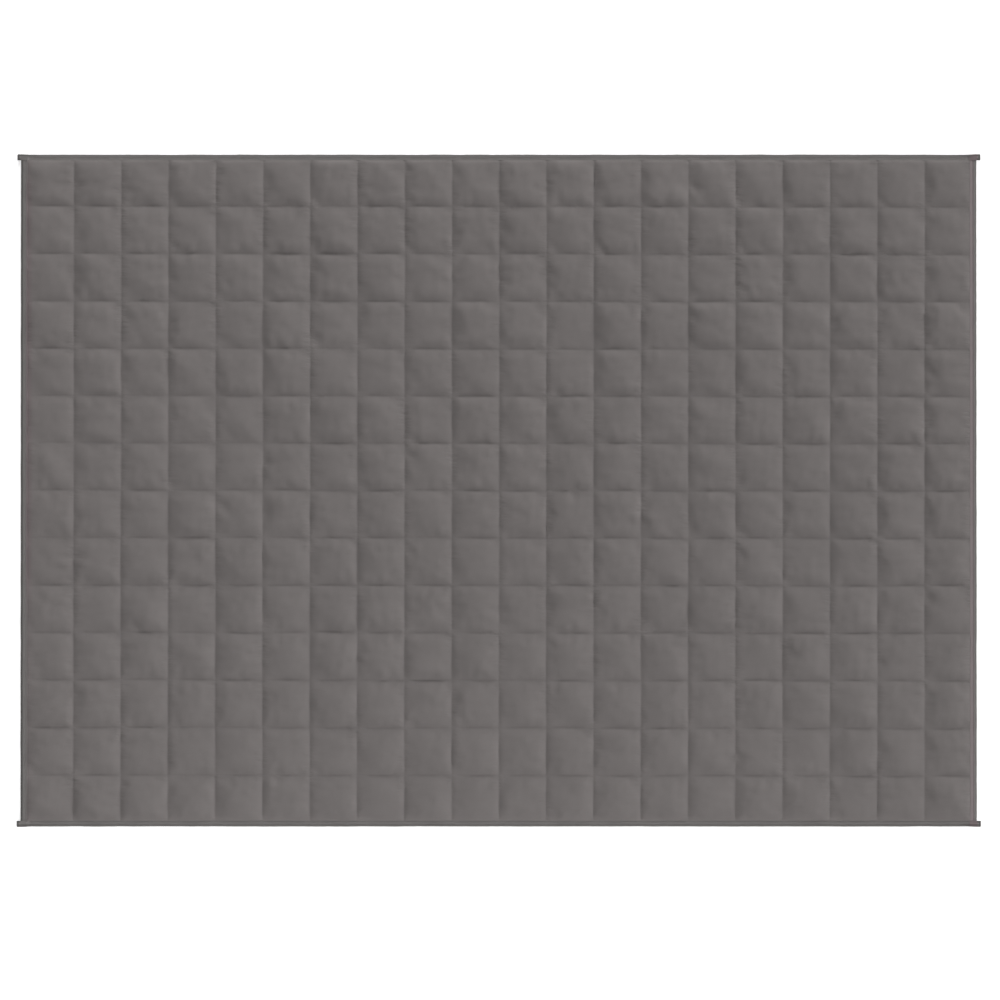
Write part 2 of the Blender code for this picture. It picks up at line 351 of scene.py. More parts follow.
def main_creases(x, y):
    """How much the main creases lower the cover there."""
    creases = list(FOLDS)
    for column, row, up, length, strength in DENTS:
        creases.append((column, row, DENT_ACROSS, up, 90, length, DENT_HALF_WIDTH, strength))
    for column, row, across, length, strength in SAGS:
        creases.append((column, row, across, SAG_UP, 0, length, SAG_HALF_WIDTH, SAG_SHARE * strength))
    total = np.zeros(x.shape)
    for column, row, across, up, turn, length, width, strength in creases:
        from_x = x - SEAMS_X[column - 1] - across * PITCH_X
        from_y = y - SEAMS_Y[row - 1] - up * PITCH_Y
        cos, sin = math.cos(math.radians(turn)), math.sin(math.radians(turn))
        along, apart = cos * from_x + sin * from_y, cos * from_y - sin * from_x
        fade = np.exp(-((along / (length * MM)) ** 2) - (apart / (width * MM)) ** 2)
        total += strength * CREASE_DEPTH * fade
    return total


# ---------------------------------------- lines of the quilting


def seams(first, pitch, count, half_panel):
    """The seams of one direction, with the panel's two ends."""
    return np.array([-half_panel] + [first + pitch * i for i in range(count - 1)] + [half_panel])


SEAMS_X = seams(FIRST_SEAM_X, PITCH_X, COLUMNS, PANEL_HALF_X)
SEAMS_Y = seams(FIRST_SEAM_Y, PITCH_Y, ROWS, PANEL_HALF_Y)


def fine_shares():
    """The lines of the cover's top side in a pocket, as shares of it."""
    middle = (1 - 2 * sum(NEAR_SEAM)) / MIDDLE_CELLS
    cells = list(NEAR_SEAM) + [middle] * MIDDLE_CELLS + list(reversed(NEAR_SEAM))
    return np.concatenate([[0.0], np.cumsum(cells)])


SHARES = fine_shares()
CELLS = len(SHARES) - 1  # of a pocket, each way


def lines(seam_places, shares):
    """Every line of the cover in one direction, pocket by pocket."""
    places = [seam_places[0]]
    for low, high in zip(seam_places, seam_places[1:]):
        places += [low + (high - low) * share for share in shares[1:]]
    return np.array(places)


def sewn_places(x, y):
    """Where points of the square grid really lie: the seams lean and waver a little."""
    inner_x = soft_step(PANEL_HALF_X - np.abs(x), 0, PITCH_X)
    inner_y = soft_step(PANEL_HALF_Y - np.abs(y), 0, PITCH_Y)
    up = y / WIDTH + 0.5
    right = x / LENGTH + 0.5
    shift_x = LEAN_BOTTOM + (LEAN_TOP - LEAN_BOTTOM) * up - DRAWN_IN * x
    shift_y = LEAN_LEFT + (LEAN_RIGHT - LEAN_LEFT) * right
    shift_y += BOW * (1 - (2 * up - 1) ** 2) + BOW_SKEW * np.sin(2 * np.pi * up)
    shift_x += WAVER_X * unevenness(SEED + 1, WAVER_SIZE, WAVER_WAVES)(x, y)
    shift_y += WAVER_Y * unevenness(SEED + 2, WAVER_SIZE, WAVER_WAVES)(x, y)
    shift_x += FINE_WAVER * unevenness(SEED + 11, FINE_WAVER_SIZE, FINE_WAVER_WAVES)(x, y)
    shift_y += FINE_WAVER * unevenness(SEED + 12, FINE_WAVER_SIZE, FINE_WAVER_WAVES)(x, y)
    flare = half_length(y) / (LENGTH / 2)
    return x * flare + shift_x * inner_x, y + shift_y * inner_y


def usual_form():
    """A pocket without puckers, from 0 at its seams to 1 at its crown, over its lines."""
    apart = np.abs(2 * SHARES - 1)
    arch_y = np.hypot(1 - apart**ROUNDNESS_Y, LEVEL_SOFTNESS) - LEVEL_SOFTNESS
    return np.outer(arch_y / arch_y.max(), 1 - apart**ROUNDNESS_X)


FORM = usual_form()


# ---------------------------------------- simulated pillows


def patch_of_cover(xs, ys):
    """A patch of cover cloth over its pockets, with a vertex group of its seams."""
    rng = np.random.default_rng(SEED)
    x, y = np.meshgrid(xs, ys)
    u, v = np.arange(len(xs)) % CELLS, np.arange(len(ys)) % CELLS
    form = FORM[v][:, u]
    rough = unevenness(SEED + 3, START_SIZE)(x, y) + START_GRAIN * rng.normal(0, 1, x.shape)
    z = START_SHARE * CROWN_RISE * form + START_UNEVENNESS * rough * np.minimum(1, 2 * form)
    patch = add_mesh("patch", np.stack([x, y, z], -1).reshape(-1, 3), grid_faces(*x.shape), None)
    on_seam = (u == 0)[None, :] | (v == 0)[:, None]
    group = patch.vertex_groups.new(name="seams")
    group.add(np.nonzero(on_seam.reshape(-1))[0].tolist(), 1.0, "REPLACE")
    return patch


def simulated_pillows():
    """Pillows of one pocket each, as arrays of (dx, dy, z) over its lines. The cloth is held at the seams,
    cut a little larger than they are apart, and pushed up by the filling."""
    xs = lines(PITCH_X * np.arange(PATCH_COLUMNS + 1), SHARES)
    ys = lines(PITCH_Y * np.arange(PATCH_ROWS + 1), SHARES)
    patch = patch_of_cover(xs, ys)
    cloth = patch.modifiers.new("cloth", "CLOTH")
    cloth.point_cache.frame_start = 1
    cloth.point_cache.frame_end = PILLOW_FRAMES + 1
    cloth.collision_settings.use_collision = False
    for setting, value in PILLOW_CLOTH.items():
        setattr(cloth.settings, setting, value)
    cloth.settings.vertex_group_mass = "seams"
    cloth.settings.effector_weights.gravity = 0
    for number in range(1, PILLOW_FRAMES + 1):
        bpy.context.scene.frame_set(number)
    swollen = patch.evaluated_get(bpy.context.evaluated_depsgraph_get()).to_mesh()
    places = np.zeros(len(swollen.vertices) * 3)
    swollen.vertices.foreach_get("co", places)
    places = places.reshape(len(ys), len(xs), 3)
    bpy.data.objects.remove(patch)
    bpy.context.scene.frame_set(1)
    places[..., 0] -= xs[None, :]
    places[..., 1] -= ys[:, None]
    return [
        places[row * CELLS : (row + 1) * CELLS + 1, column * CELLS : (column + 1) * CELLS + 1]
        for row in range(PATCH_ROWS)
        for column in range(PATCH_COLUMNS)
    ]


def turned(pillow, way):
    """One of the ways that a square pillow can lie. The bits mirror it in x and in y, and swap the two."""
    result = pillow.copy()
    if way & 1:
        result = result[:, ::-1] * (-1, 1, 1)
    if way & 2:
        result = result[::-1] * (1, -1, 1)
    if way & 4:
        result = result.transpose(1, 0, 2)[..., [1, 0, 2]]
    return result


def puckered_pillows():
    """Every way of each simulated pillow. Its height is set to the usual form and keeps the puckers."""
    pillows = [turned(pillow, way) for pillow in simulated_pillows() for way in range(WAYS_TO_LIE)]
    usual = np.mean([pillow[..., 2] for pillow in pillows], axis=0)
    near = np.minimum(SHARES, 1 - SHARES)
    loose = soft_step(np.minimum(near[:, None], near[None, :]), 0, LOOSE_FROM)
    for pillow in pillows:
        pillow[..., :2] *= SIDEWAYS * loose[..., None]
        pillow[..., 2] = FORM * CROWN_RISE + PUCKERS * loose * (pillow[..., 2] - usual)
    return pillows


# ---------------------------------------- quilted cover


def gathered(kind, along, apart, number):
    """Small folds that leave a seam at right angles and fade out. They cross it, so both sides show them."""
    main = unevenness(kind.seed, kind.spacing, 32)
    strength = unevenness(kind.seed + 500, STRENGTH_SIZE, 24)
    side = unevenness(kind.seed + 900, REACH_SIZE, 24)
    own = SEAM_STRIDE * number
    longer = REACH_SPREAD * np.clip(side(along, own + SIDE_STRIDE * np.sign(apart)), *REACH_LIMITS)
    away = np.abs(apart) / (kind.reach * (1 + longer))
    fade = (away * np.exp(1 - away)) ** kind.softness
    fade *= 1 - soft_step(np.abs(apart), *GATHERS_END)
    strong = np.clip(STRENGTH_MEAN + STRENGTH_SPREAD * strength(along, own), *STRENGTH_LIMITS)
    return kind.depth * strong * fade * main(along, own)


def all_gathers(kind, apart_from, along, seam_places):
    """The gathers of all seams of one direction, each over the half pockets beside it."""
    total = np.zeros(along.shape)
    for number, place in enumerate(seam_places):
        apart = apart_from - place
        near = np.abs(apart) < PITCH_X / 2
        total[near] += gathered(kind, along[near], apart[near], number)
    return total


def long_waves(x, y):
    """How much the whole cover rises and falls there."""
    inside = np.minimum(PANEL_HALF_X - np.abs(x), PANEL_HALF_Y - np.abs(y))
    return UNDULATION * unevenness(SEED + 10, UNDULATION_SIZE)(x, y) * soft_step(inside, 0, PITCH_X)


def distance_to_nearest(values, places):
    return np.min([np.abs(values - place) for place in places], axis=0)


def all_pillows(pillows):
    """A pillow for each pocket, fuller or flatter and tilted, as (dx, dy, z) over the cover's lines."""
    shift = np.zeros((ROWS * CELLS + 1, COLUMNS * CELLS + 1, 3))
    rng = np.random.default_rng(SEED + 5)
    for row in range(ROWS):
        for column in range(COLUMNS):
            pillow = pillows[rng.integers(len(pillows))].copy()
            tilt_x, tilt_y = rng.uniform(-TILT, TILT, 2)
            lean = 1 + tilt_x * (2 * SHARES[None, :] - 1) + tilt_y * (2 * SHARES[:, None] - 1)
            pillow[..., 2] *= rng.uniform(*FULLNESS) * lean
            shift[row * CELLS : (row + 1) * CELLS + 1, column * CELLS : (column + 1) * CELLS + 1] = pillow
    return shift


def ground_level(x, y):
    """Height of the cover without its pillows: lower along the seams, and set beside the tapes."""
    inside_x, inside_y = PANEL_HALF_X - np.abs(x), PANEL_HALF_Y - np.abs(y)
    level = SEAM_TOP_Z + (SHORT_FOOT_Z - SEAM_TOP_Z) * (1 - soft_step(inside_x, 0, FOOT_REACH))
    long_foot_z = np.where(y > 0, TOP_FOOT_Z, BOTTOM_FOOT_Z)
    level += (long_foot_z - SEAM_TOP_Z) * (1 - soft_step(inside_y, 0, FOOT_REACH))
    upright_dip = CHANNEL_DIP * np.exp(-distance_to_nearest(x, SEAMS_X[1:-1]) / CHANNEL_REACH)
    level_dip = LEVEL_DIP * np.exp(-((distance_to_nearest(y, SEAMS_Y[1:-1]) / LEVEL_REACH) ** 2))
    level -= np.maximum(upright_dip, level_dip)
    return level + long_waves(x, y)


def wrinkles(x, y):
    """Lumps, gathers and main creases of the cover."""
    u, v = np.arange(x.shape[1]) % CELLS, np.arange(x.shape[0]) % CELLS
    loose = np.minimum(1, 2 * FORM[v][:, u])
    lift = LUMP_HEIGHT * loose * unevenness(SEED + 6, LUMP_SIZE)(x / LUMP_STRETCH, y)
    lift += FINE_LUMP_HEIGHT * loose * unevenness(SEED + 7, FINE_LUMP_SIZE)(x, y)
    free = np.minimum(1, FREE_RATE * np.minimum(SHARES, 1 - SHARES))
    lift += all_gathers(BESIDE_UPRIGHT_SEAMS, x, y, SEAMS_X) * free[v][:, None]
    lift += all_gathers(BESIDE_LEVEL_SEAMS, y, x, SEAMS_Y) * free[u][None, :]
    inside = np.minimum(PANEL_HALF_X - np.abs(x), PANEL_HALF_Y - np.abs(y))
    return lift - main_creases(x, y) * soft_step(inside, 0, CREASE_START)


def cover_top(pillows):
    """The points of the cover's top side, (rows, columns, 3), with the margins that run into the tapes."""
    x, y = np.meshgrid(lines(SEAMS_X, SHARES), lines(SEAMS_Y, SHARES))
    shift = all_pillows(pillows)
    z = ground_level(x, y) + wrinkles(x, y) + shift[..., 2]
    x, y = sewn_places(x + shift[..., 0], y + shift[..., 1])
    return with_margin(np.stack([x, y, z], -1), TOP_MARGIN)


def cover_back():
    """The points of the underside: flat pads on the floor, with a groove along each seam."""
    x, y = np.meshgrid(lines(SEAMS_X, BACK_LINES), lines(SEAMS_Y, BACK_LINES))
    from_seam = np.minimum(distance_to_nearest(x, SEAMS_X), distance_to_nearest(y, SEAMS_Y))
    near = np.clip(from_seam / GROOVE_REACH, 0, 1)
    seam_z = np.maximum(SEAM_BACK_Z + long_waves(x, y), LOWEST_SEAM_BACK_Z)
    x, y = sewn_places(x, y)
    return with_margin(np.stack([x, y, seam_z * (1 - near) ** 2], -1), BACK_MARGIN)


def with_margin(points, margin):
    """The points with more rings around them, which reach into the fold of the tapes."""
    into_fold = (SHORT_TAPE_WIDTH - FOLD_WALL, LONG_TAPE_WIDTH - FOLD_WALL)
    for out, z in margin:
        out_x, out_y = (out, out) if out else into_fold
        points = np.pad(points, ((1, 1), (1, 1), (0, 0)), mode="edge")
        points[:, 0, 0] -= out_x
        points[:, -1, 0] += out_x
        points[0, :, 1] -= out_y
        points[-1, :, 1] += out_y
        if z is not None:
            for ring in (np.s_[0, :], np.s_[-1, :], np.s_[:, 0], np.s_[:, -1]):
                points[ring][..., 2] = z
    return points


def quilted_cover(top, back, material):
    """One closed skin: the top, the underside and the edge between them, hidden in the tapes."""
    top_faces = grid_faces(*top.shape[:2])
    back_faces = grid_faces(*back.shape[:2], first=top[..., 0].size, flip=True)
    points = np.concatenate([top.reshape(-1, 3), back.reshape(-1, 3)])
    cover = add_mesh("quilted_cover", points, np.concatenate([top_faces, back_faces]), material)
    bm = bmesh.new()
    bm.from_mesh(cover.data)
    bmesh.ops.bridge_loops(bm, edges=[edge for edge in bm.edges if edge.is_boundary])
    for face in bm.faces:
        face.smooth = True
    bm.to_mesh(cover.data)
    bm.free()
    return cover


# ---------------------------------------- tapes


# Places across a leaf, as shares from its inner edge to its fold
OVER = np.array([0.0, 0.014, 0.05, 0.11, 0.18, 0.26, 0.34, 0.42, 0.52, 0.64, 0.76, 0.88])
UNDER = np.array([0.0, 0.25, 0.5, 0.75])
SLOT_ROOF = np.array([0.11, 0.34, 0.64])
FOLD_STEPS = 8
GROOVE_HALF_WIDTH = 0.9 * MM
ROLL = 0.3 * MM  # the tape is a little rounder between its stitching and its fold
SLIT = 0.06 * MM  # half the height that is left of the slot in a tab
SLOT_TURN = 0.4 * MM  # where the slot begins to narrow, before the flat ends
SLOT_FLOOR_MIDDLE, SLOT_FLOOR_START = 0.5, 0.1 * MM
LIP_DROP, LIP_SLANT, LIP_SHARE = 0.15 * MM, 0.02 * MM, 0.95  # the inner edge is slightly rounded


def fold_arc(radius):
    """Half a circle, (out, z) from its centre, from the bottom round the outside to the top."""
    turn = np.linspace(-np.pi / 2, np.pi / 2, FOLD_STEPS + 1)
    return np.stack([np.cos(turn), np.sin(turn)], -1) * radius


def leaf_relief(out, tape, flat):
    """Height of the upper leaf above its flat level: the inner edge rises, the stitching pulls it down."""
    lip = tape.lip_rise * np.clip(1 - out / tape.stitched_at, 0, 1)
    groove = tape.groove * np.exp(-(((out - tape.stitched_at) / GROOVE_HALF_WIDTH) ** 2))
    outer = np.clip((out - tape.stitched_at) / (flat - tape.stitched_at), 0, 1)
    return lip - groove + ROLL * np.sin(np.pi * outer)


def tape_section(tape, width, top, lap, closed):
    """A folded tape's closed outline, as (out, z) from its inner edge: the underside, the fold, the top, and
    the slot for the cover. Where closed is 1, the leaves lie on each other with a mere slit between them."""
    radius = top / 2
    flat = width - radius
    under = [(out, 0.0) for out in UNDER * flat]
    fold = fold_arc(radius) + (flat, radius)
    over = [(out, top + leaf_relief(out, tape, flat)) for out in OVER[::-1] * flat]
    lip_z = over[-1][1]
    over[-1] = (-lap, lip_z - LIP_DROP)
    lip = [(-lap + LIP_SLANT, lip_z - LIP_SHARE * LEAF)]
    roof = top - LEAF + (radius + SLIT - top + LEAF) * closed
    floor = LEAF + (radius - SLIT - LEAF) * closed
    deep = flat + (radius - LEAF) * (1 - closed)
    slot = [(out, roof + leaf_relief(out, tape, flat) * (1 - closed)) for out in SLOT_ROOF * flat]
    slot += [(flat - SLOT_TURN, roof), (deep, radius + SLIT), (deep, radius - SLIT)]
    slot += [(flat - SLOT_TURN, floor), (SLOT_FLOOR_MIDDLE * flat, floor), (SLOT_FLOOR_START, floor)]
    return np.array(under + fold.tolist() + over + lip + slot)


def rounded_end(section, inset):
    """The outline drawn in on all sides, for the rounded end of a tape."""
    middle = np.array([(section[:, 0].min() + section[:, 0].max()) / 2, section[:, 1].max() / 2])
    half = np.array([np.ptp(section[:, 0]) / 2, section[:, 1].max() / 2])
    return middle + (section - middle) * (1 - inset / half)


def stations_along(low, high, round_ends):
    """Places along a tape, closer together towards its ends, each with how far a rounded end is drawn in."""
    far = np.arange(FINE_REACH, (high - low) / 2, STATION_STEP)
    near = np.arange(END_ROUNDING + FINE_STEP, FINE_REACH, FINE_STEP)
    turn = np.linspace(0, np.pi / 2, END_STEPS + 1)
    rounded = list(zip(END_ROUNDING * (1 - np.cos(turn)), END_ROUNDING * (1 - np.sin(turn))))
    if not round_ends:
        rounded = [(0.0, 0.0), (END_ROUNDING, 0.0)]
    half = rounded + [(place, 0.0) for place in (*near, *far)]
    second_half = [(high - place, inset) for place, inset in reversed(half)]
    return [(low + place, inset) for place, inset in half] + second_half


def tape_points(tape):
    """The points of a tape, (stations, outline, 3), and for each its distances from the inner edge, the outer
    edge and the nearer end, and its place along the tape."""
    low, high = (corner[tape.axis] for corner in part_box(tape.node))
    number = TAPES.index(tape)
    slow = unevenness(SEED + 30 + number, TAPE_WAVER_SIZE, 24)
    fine = unevenness(SEED + 40 + number, TAPE_FINE_SIZE, 24)
    over_short_tape = LENGTH / 2 - SHORT_TAPE_WIDTH
    rows, marks = [], []
    for along, inset in stations_along(low, high, tape.long):
        from_middle = abs(along) if tape.long else 0.0
        swell = soft_step(from_middle, LENGTH / 2 - SWELL_REACH, LENGTH / 2)
        lapped = soft_step(from_middle, over_short_tape - LAP_START, over_short_tape)
        closed = soft_step(from_middle, LENGTH / 2 + CLOSED_FROM, LENGTH / 2 + CLOSED_TO)
        width = tape.width + tape.swell * swell
        width += TAPE_WAVER * float(slow(along, 0.0)) + TAPE_FINE_WAVER * float(fine(along, 0.0))
        top = TAPE_TOP_Z + LAP_RISE * lapped + TAPE_FINE_RISE * float(fine(along, 5.0))
        section = tape_section(tape, width, top, LIP_REACH + (LAP - LIP_REACH) * lapped, closed)
        if inset:
            section = rounded_end(section, inset)
        out, z = section.T
        fixed = np.full(len(out), along)
        if tape.long:
            places = (fixed, tape.out[1] * (WIDTH / 2 - tape.width + out), z)
        else:
            places = (tape.out[0] * (half_length(along) - tape.width + out), fixed, z)
        rows.append(np.stack(places, -1))
        from_end = np.full(len(out), min(along - low, high - along))
        marks.append(np.stack([out, width - out, from_end, fixed], -1))
    return np.array(rows), np.array(marks)


def folded_tape(tape, material):
    """One tape as a closed mesh, painted with its tones."""
    points, marks = tape_points(tape)
    stations, around = points.shape[:2]
    index = np.arange(stations * around).reshape(stations, around)
    ahead = np.roll(index, -1, axis=1)
    sides = np.stack([index[:-1], ahead[:-1], ahead[1:], index[1:]], -1).reshape(-1, 4).tolist()
    caps = [index[0][::-1].tolist(), index[-1].tolist()]
    obj = add_mesh("folded_tape_" + tape.name, points.reshape(-1, 3), sides + caps, material)
    bm = bmesh.new()
    bm.from_mesh(obj.data)
    bmesh.ops.triangulate(bm, faces=[face for face in bm.faces if len(face.verts) > 4])
    bmesh.ops.recalc_face_normals(bm, faces=bm.faces)
    bm.to_mesh(obj.data)
    bm.free()
    paint(obj, tape_tone(tape, marks))
    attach(obj, "root")
    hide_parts(tape.node)


def keep_for_points(obj, name, values):
    """Stores three values for each point, for its material."""
    layer = obj.data.color_attributes.new(name, "FLOAT_COLOR", "POINT")
    values = np.concatenate([values, np.ones((len(values), 1))], 1)
    layer.data.foreach_set("color", values.astype(np.float32).ravel())


def paint(obj, tone):
    """Keeps a tone for each point, by which its material multiplies the cloth's colour."""
    keep_for_points(obj, "tone", tone)


# Tones of the cloth beside the edges, with painted shade and painted light among them. Pairs are the places
# between which a tone begins or ends.
# painted shade round the tabs
TAB_EDGE_SHADE = 0.46
TAB_MIDDLE_TONE = 1.30
NEAR_TAB, IN_TAB = (20 * MM, 60 * MM), (6 * MM, 9 * MM)  # from the end of a long tape
INNER_HIGHLIGHT_START = (14 * MM, 28 * MM)  # where the painted highlight begins, from there too
INNER_HIGHLIGHT_END = (-0.8 * MM, 0.4 * MM)  # where the painted highlight ends, from the stitching
TAB_INNER_EDGE = (2.0 * MM, 4.0 * MM)
# the line of painted shade along the folds and the ends of the tabs
BORDER_START, BORDER_END, BORDER_RIM = (0.8 * MM, 2.8 * MM), (3.4 * MM, 5.2 * MM), 0.4
TAPE_MAUVE = np.array([1.08, 0.95, 1.0])
MAUVE_SOFTNESS = 1 * MM
CORNER_MAUVE = np.array([1.03, 0.87, 0.92])
CORNER_MAUVE_START, CORNER_MAUVE_END = (0.983, 0.987), (1.000, 1.003)  # along x
# mauve tint and painted shade on the cover beside the left tape
COVER_MAUVE_AND_SHADE = np.array([0.98, 0.88, 0.92])
COVER_MAUVE_AND_SHADE_END = (5 * MM, 8 * MM)  # from the left tape
LEFT_MAUVE_AND_SHADE_START, LEFT_MAUVE_AND_SHADE_END, LEFT_MAUVE_AND_SHADE_REST = (-0.30, -0.15), (0.64, 0.66), 0.3  # where the mauve and the painted shade show along the left edge, along y
TOP_EDGE_LIGHT, TOP_EDGE_REACH = 1.22, 3 * MM  # painted light: the cover is lighter beside the long tapes
BOTTOM_EDGE_LIGHT, BOTTOM_EDGE_REACH = 1.06, 8 * MM
EDGE_TONE_FULL = 0.4  # share of the reach over which it has its full tone
SEAM_SHADE, SEAM_SHADE_REACH = 0.975, 9 * MM  # and painted shade, a little darker beside its seams
SEAM_SHADE_START = (5 * MM, 20 * MM)  # from the tapes


def mauve_and_shade_along(side, y):
    """How strongly the mauve, and on the cover the painted shade, shows there: along the left edge mainly
    above the middle.
    """
    if side == "right":
        return np.ones(y.shape)
    shown = soft_step(y, *LEFT_MAUVE_AND_SHADE_START) * (1 - soft_step(y, *LEFT_MAUVE_AND_SHADE_END))
    return LEFT_MAUVE_AND_SHADE_REST + (1 - LEFT_MAUVE_AND_SHADE_REST) * shown


def edge_shade_line(distance):
    """A line of painted shade a little inside an edge, weaker on the very edge."""
    line = BORDER_RIM + (1 - BORDER_RIM) * soft_step(distance, *BORDER_START)
    return (1 - soft_step(distance, *BORDER_END)) * line


def tinted(tone, tint, share):
    """The tone of each point in three channels, with as much of the tint as its share."""
    return tone[:, None] * (1 + (tint - 1) * share[:, None])


def tape_tone(tape, marks):
    """Painted shade along the fold and round the tabs, a painted highlight inside the stitching, lighter in
    the middle of the tabs, mauve inside.
    """
    inner, outer, from_end, along = marks.reshape(-1, 4).T
    # painted shade along the fold
    fold = edge_shade_line(outer - tape.border_in)
    # painted highlight inside the stitching
    inside = 1 - soft_step(inner - tape.stitched_at, *INNER_HIGHLIGHT_END)
    if tape.long:
        inside *= soft_step(from_end, *INNER_HIGHLIGHT_START)
    body = tape.body_tone + (tape.inner_highlight_tone - tape.body_tone) * inside
    if not tape.long:
        mauve = 1 - soft_step(inner, tape.mauve_to - MAUVE_SOFTNESS, tape.mauve_to + MAUVE_SOFTNESS)
        return tinted(body + (tape.fold_shade_tone - 1) * fold, TAPE_MAUVE, mauve * mauve_and_shade_along(tape.name, along))
    near_tab = 1 - soft_step(from_end, *NEAR_TAB)
    in_tab = 1 - soft_step(from_end, *IN_TAB)
    edge = np.maximum(edge_shade_line(from_end), (1 - soft_step(inner, *TAB_INNER_EDGE)) * in_tab)
    # painted shade round the tabs and along the fold near them
    fold_shade = 1 - tape.fold_shade_tone + (tape.fold_shade_tone - TAB_EDGE_SHADE) * near_tab
    shade = np.maximum(fold * fold_shade, edge * (1 - TAB_EDGE_SHADE))
    tone = body + (TAB_MIDDLE_TONE - body) * in_tab * (1 - np.maximum(fold, edge)) - shade
    mauve = soft_step(along, *CORNER_MAUVE_START) * (1 - soft_step(along, *CORNER_MAUVE_END))
    return tinted(tone, CORNER_MAUVE, mauve)


def cover_tone(points, from_seams):
    """Mauve and painted shade beside the left tape, painted light beside the long ones, painted shade beside
    the seams.
    """
    x, y = points[:, 0], points[:, 1]
    light = np.ones(len(x))
    # painted light beside the long tapes
    for tone, reach, side in ((TOP_EDGE_LIGHT, TOP_EDGE_REACH, 1), (BOTTOM_EDGE_LIGHT, BOTTOM_EDGE_REACH, -1)):
        light += (tone - 1) * (1 - soft_step(PANEL_HALF_Y - side * y, EDGE_TONE_FULL * reach, reach))
    inside = np.minimum(PANEL_HALF_X - np.abs(x), PANEL_HALF_Y - np.abs(y))
    # painted shade beside the seams
    near = np.exp(-((from_seams[:, :2].min(axis=1) / SEAM_SHADE_REACH) ** 2))
    light += (SEAM_SHADE - 1) * near * soft_step(inside, *SEAM_SHADE_START)
    # mauve and painted shade beside the left tape
    beside = 1 - soft_step(x + half_length(y) - SHORT_TAPE_WIDTH, *COVER_MAUVE_AND_SHADE_END)
    return tinted(light, COVER_MAUVE_AND_SHADE, beside * mauve_and_shade_along("left", y))


def seam_distances(shape, shares, margin):
    """For each point of a side of the cover: how far it is from the nearest upright and level seam, and 0."""
    near = np.minimum(np.array(shares), 1 - np.array(shares))
    along_y, along_x = (near[np.arange(count - 2 * margin) % (len(shares) - 1)] for count in shape)
    along_x, along_y = along_x * PITCH_X, along_y * PITCH_Y
    x, y = np.meshgrid(np.pad(along_x, margin), np.pad(along_y, margin))
    return np.stack([x, y, 0 * x], -1).reshape(-1, 3)


# ---------------------------------------- stitches


# A stitch's points are its two ends, and two rings of four
STITCH_POINTS = 10
STITCH_FACES = (
    [(0, 2 + k, 2 + (k + 1) % 4) for k in range(4)]
    + [(2 + k, 6 + k, 6 + (k + 1) % 4, 2 + (k + 1) % 4) for k in range(4)]
    + [(1, 6 + (k + 1) % 4, 6 + k) for k in range(4)]
)
STITCH_FULL = (0.18, 0.82)  # shares of a stitch between which it has its full thickness
STITCH_LIFT, STITCH_SPREAD = 0.35, 1.2  # of the thread's thickness
QUILT_STITCH = dict(pitch=4.0 * MM, share=0.8, thread=0.5 * MM, sink=0.35 * MM)
TAPE_STITCH = dict(pitch=3.4 * MM, share=0.8, thread=0.45 * MM, sink=0.30 * MM)
UNDERSIDE_STITCH = dict(pitch=3.4 * MM, share=0.8, thread=0.2 * MM, sink=-0.1 * MM)
UNDERSIDE_THREAD_Z = 0.18 * MM


def stitch_run(line, up, pitch, share, thread, sink):
    """Short threads laid along a line of points, thin at both ends, where they go into the cloth."""
    steps = np.linalg.norm(np.diff(line, axis=0), axis=1)
    far = np.concatenate([[0], np.cumsum(steps)])
    count = int(far[-1] / pitch)
    starts = (np.arange(count) + 0.5 * (1 - share)) * far[-1] / count
    length = share * far[-1] / count

    def at(distance):
        return np.stack([np.interp(distance, far, line[:, k]) for k in range(3)], -1)

    a, b = at(starts), at(starts + length)
    direction = (b - a) / np.linalg.norm(b - a, axis=1, keepdims=True)
    upward = np.broadcast_to(np.array(up, float), direction.shape)
    side = np.cross(direction, upward)
    points = [a - sink * upward, b - sink * upward]
    for share_along in STITCH_FULL:
        middle = a + (b - a) * share_along + thread * STITCH_LIFT * upward
        for turn in range(4):
            angle = math.pi / 4 + turn * math.pi / 2
            around = math.cos(angle) * side + math.sin(angle) * upward
            points.append(middle + thread / 2 * STITCH_SPREAD * around)
    return np.stack(points, 1)


def stitches(name, runs, material):
    """Many stitches as one mesh."""
    points = np.concatenate(runs)
    faces = []
    for number in range(len(points)):
        faces += [[STITCH_POINTS * number + k for k in face] for face in STITCH_FACES]
    obj = add_mesh(name, points.reshape(-1, 3), faces, material)
    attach(obj, "root")


def quilting_stitches(points, shares, side, material):
    """The stitches of the seams on one side of the cover, those along the blanket and those across it."""
    up = (0, 0, 1) if side == "top" else (0, 0, -1)
    step = len(shares) - 1
    rings = len(TOP_MARGIN if side == "top" else BACK_MARGIN)
    panel = points[rings:-rings, rings:-rings]
    rows = [stitch_run(panel[step * i], up, **QUILT_STITCH) for i in range(1, ROWS)]
    columns = [stitch_run(panel[:, step * i], up, **QUILT_STITCH) for i in range(1, COLUMNS)]
    stitches(f"stitches_{side}_along", rows, material)
    stitches(f"stitches_{side}_across", columns, material)


def tape_stitches(material):
    """The stitching that holds each tape, on both of its leaves."""
    runs = []
    first = len(UNDER) + FOLD_STEPS + 1
    on_top = np.s_[3:-3, first : first + len(OVER)]  # without the very ends
    for tape in TAPES:
        points, marks = tape_points(tape)
        line = []
        for station, inner in zip(points[on_top], marks[..., 0][on_top]):
            line.append([np.interp(tape.stitched_at, inner[::-1], station[::-1, k]) for k in range(3)])
        line = np.array(line)
        runs.append(stitch_run(line, (0, 0, 1), **TAPE_STITCH))
        line[:, 2] = UNDERSIDE_THREAD_Z
        runs.append(stitch_run(line, (0, 0, -1), **UNDERSIDE_STITCH))
    stitches("stitches_of_tapes", runs, material)


# ---------------------------------------- materials


